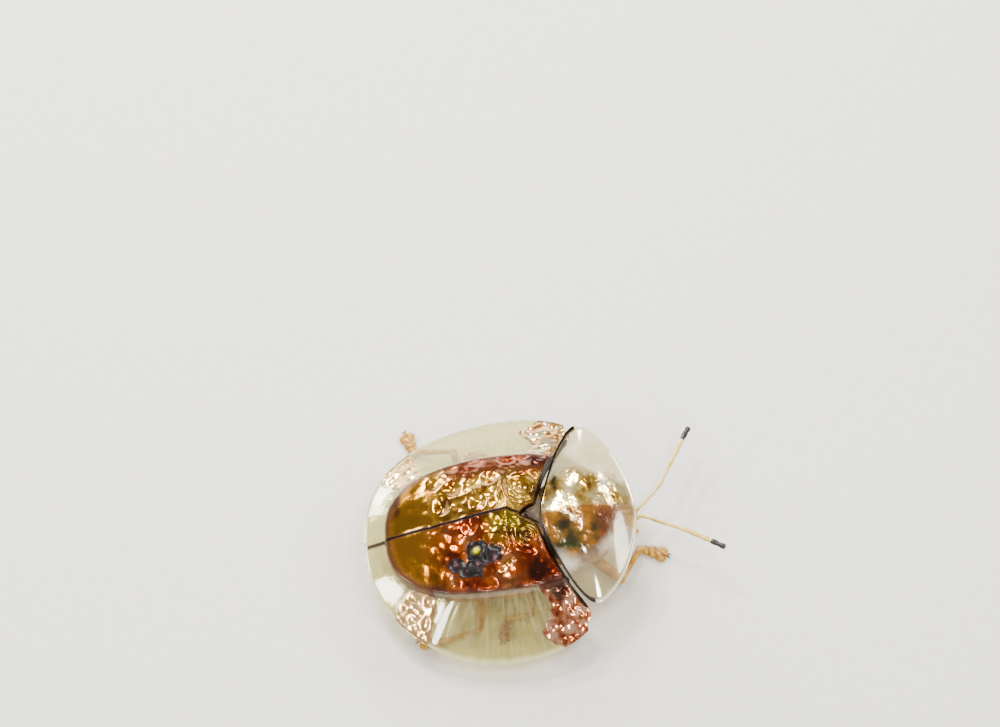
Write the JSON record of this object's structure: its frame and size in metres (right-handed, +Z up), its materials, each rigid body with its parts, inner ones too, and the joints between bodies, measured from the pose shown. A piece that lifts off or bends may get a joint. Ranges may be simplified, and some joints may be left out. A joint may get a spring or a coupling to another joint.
{
  "type": "golden tortoise beetle",
  "caption": "Golden tortoise beetle with a humped gold shell, clear margins and neck shield, feelers and feet out, a still model for a table or display.",
  "frame": {"origin": "on the ground under the middle of the whole beetle's box", "axes": "+Z up; the head and feelers face -Y; the beetle's own left side is +X"},
  "size_m": [0.0132, 0.017, 0.0054],
  "materials": {
    "gold_shell": "metallic gold cuticle, pitted, with a clear pale margin",
    "copper_shell": "coppery gold cuticle, pitted, with a clear pale margin",
    "dark_shell": "dark reddish brown cuticle",
    "shield": "clear glassy cuticle over a golden middle",
    "amber_skin": "amber yellow cuticle, satin",
    "pale_yellow": "pale straw cuticle with dark tips",
    "eye": "black faceted eye"
  },
  "bodies": {
    "root": {"elytron_left": "gold_shell", "elytron_right": "copper_shell", "scutellum": "dark_shell", "pronotum": "shield", "thorax": "amber_skin", "abdomen": "amber_skin", "head": "amber_skin", "eye_left": "eye", "eye_right": "eye", "antenna_left": "pale_yellow", "antenna_right": "pale_yellow", "leg_front_left": "amber_skin", "leg_front_right": "amber_skin", "leg_middle_left": "amber_skin", "leg_middle_right": "amber_skin", "leg_hind_left": "amber_skin", "leg_hind_right": "amber_skin"}
  },
  "joints": []
}
